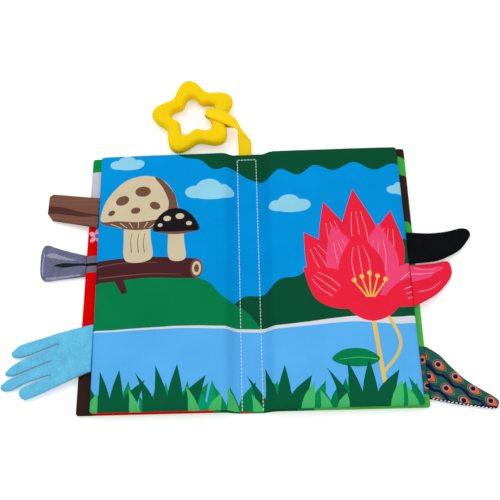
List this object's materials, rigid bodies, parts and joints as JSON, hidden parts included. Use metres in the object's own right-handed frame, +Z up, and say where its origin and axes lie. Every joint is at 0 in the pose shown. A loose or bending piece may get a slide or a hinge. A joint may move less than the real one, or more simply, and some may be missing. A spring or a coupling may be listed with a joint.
{
  "type": "crinkle cloth book",
  "caption": "Soft cloth baby book, open at its middle spread, with padded crinkle leaves, sewn-in cloth tails and a star teether on a ribbon loop.",
  "frame": {"origin": "middle of the underside of the spine, on the table", "axes": "+X across the open book towards the back cover, +Y towards the upper edge, where the ribbon is, +Z up from the table"},
  "size_m": [0.3994, 0.3139, 0.0168],
  "materials": {
    "cover_print": "printed woven polyester, slight sheen",
    "outer_page_print": "printed woven polyester, slight sheen",
    "inner_page_print": "printed woven polyester, slight sheen",
    "brown_print": "printed woven polyester",
    "blue_fleece": "brushed knit, soft and matte",
    "grey_plush": "short plush with printed shading",
    "black_plush": "short dense plush",
    "pink_print": "printed woven polyester",
    "feather_print": "printed woven polyester with feather eyes",
    "satin_ribbon": "satin woven ribbon",
    "teether": "moulded silicone, matte",
    "sewing_thread": "spun polyester thread",
    "wadding": "polyester wadding",
    "crinkle_film": "thin crackling film"
  },
  "bodies": {
    "spine": {"cover_fabric_spine": "cover_print", "cover_lining_spine": "outer_page_print", "inner_back_fabric_spine": "inner_page_print", "inner_front_fabric_spine": "inner_page_print", "spine_stitching": "sewing_thread"},
    "leaf_1": {"front_cover_fabric": "cover_print", "page_1_fabric": "outer_page_print", "leaf_1_wadding": "wadding", "leaf_1_crinkle_film": "crinkle_film"},
    "leaf_2": {"page_2_fabric": "inner_page_print", "page_3_fabric": "inner_page_print", "leaf_2_wadding": "wadding", "leaf_2_crinkle_film": "crinkle_film"},
    "leaf_3": {"page_5_fabric": "inner_page_print", "page_4_fabric": "inner_page_print", "leaf_3_wadding": "wadding", "leaf_3_crinkle_film": "crinkle_film"},
    "leaf_4": {"back_cover_fabric": "cover_print", "page_6_fabric": "outer_page_print", "leaf_4_wadding": "wadding", "leaf_4_crinkle_film": "crinkle_film"},
    "brown_tail": {"brown_tail_front_fabric": "brown_print", "brown_tail_back_fabric": "brown_print", "brown_tail_wadding": "wadding"},
    "blue_tail": {"blue_tail_front_fabric": "blue_fleece", "blue_tail_back_fabric": "blue_fleece", "blue_tail_wadding": "wadding"},
    "grey_tail": {"grey_tail_front_fabric": "grey_plush", "grey_tail_back_fabric": "grey_plush", "grey_tail_wadding": "wadding"},
    "black_tail": {"black_tail_front_fabric": "black_plush", "black_tail_back_fabric": "black_plush", "black_tail_wadding": "wadding"},
    "pink_tail": {"pink_tail_front_fabric": "pink_print", "pink_tail_back_fabric": "pink_print", "pink_tail_wadding": "wadding"},
    "peacock_tail": {"peacock_tail_front_fabric": "feather_print", "peacock_tail_back_fabric": "feather_print", "peacock_tail_wadding": "wadding"},
    "ribbon": {"ribbon_loop": "satin_ribbon"},
    "star": {"star_teether": "teether"}
  },
  "joints": [
    {"name": "front_cover_fold", "type": "hinge", "parent": "spine", "child": "leaf_1", "pos_m": [-0.00985, 0, 0.00075], "axis": [0, 1, 0], "range_deg": [-85, 70]},
    {"name": "back_cover_fold", "type": "hinge", "parent": "spine", "child": "leaf_4", "pos_m": [0.00985, 0, 0.00075], "axis": [0, -1, 0], "range_deg": [-85, 70]},
    {"name": "left_page_fold", "type": "hinge", "parent": "leaf_1", "child": "leaf_2", "pos_m": [-0.00995, 0, 0.002], "axis": [0, -1, 0], "range_deg": [-140, 0]},
    {"name": "right_page_fold", "type": "hinge", "parent": "leaf_4", "child": "leaf_3", "pos_m": [0.00995, 0, 0.002], "axis": [0, 1, 0], "range_deg": [-140, 0]},
    {"name": "brown_tail_flap", "type": "hinge", "parent": "leaf_2", "child": "brown_tail", "pos_m": [-0.13237, 0.0603, 0.00765], "axis": [0, -1, 0], "range_deg": [-75, 1]},
    {"name": "blue_tail_flap", "type": "hinge", "parent": "leaf_2", "child": "blue_tail", "pos_m": [-0.13061, -0.06237, 0.00765], "axis": [0, -1, 0], "range_deg": [-75, 1]},
    {"name": "grey_tail_flap", "type": "hinge", "parent": "leaf_1", "child": "grey_tail", "pos_m": [-0.1418, 0.01215, 0.00245], "axis": [0, -1, 0], "range_deg": [-75, 60]},
    {"name": "black_tail_flap", "type": "hinge", "parent": "leaf_3", "child": "black_tail", "pos_m": [0.13552, 0.01746, 0.00765], "axis": [0, 1, 0], "range_deg": [-75, 1]},
    {"name": "pink_tail_flap", "type": "hinge", "parent": "leaf_3", "child": "pink_tail", "pos_m": [0.13595, -0.01634, 0.00765], "axis": [0, 1, 0], "range_deg": [-75, 1]},
    {"name": "peacock_tail_flap", "type": "hinge", "parent": "leaf_4", "child": "peacock_tail", "pos_m": [0.1418, -0.08881, 0.00245], "axis": [0, 1, 0], "range_deg": [-75, 60]},
    {"name": "ribbon_lift", "type": "hinge", "parent": "spine", "child": "ribbon", "pos_m": [-0.0015, 0.1181, 0.00075], "axis": [1, 0, 0], "range_deg": [-75, 10]},
    {"name": "star_swing", "type": "hinge", "parent": "ribbon", "child": "star", "pos_m": [-0.02723, 0.15194, 0.00835], "axis": [0.1461, 0.9893, 0], "range_deg": [-30, 30]}
  ]
}
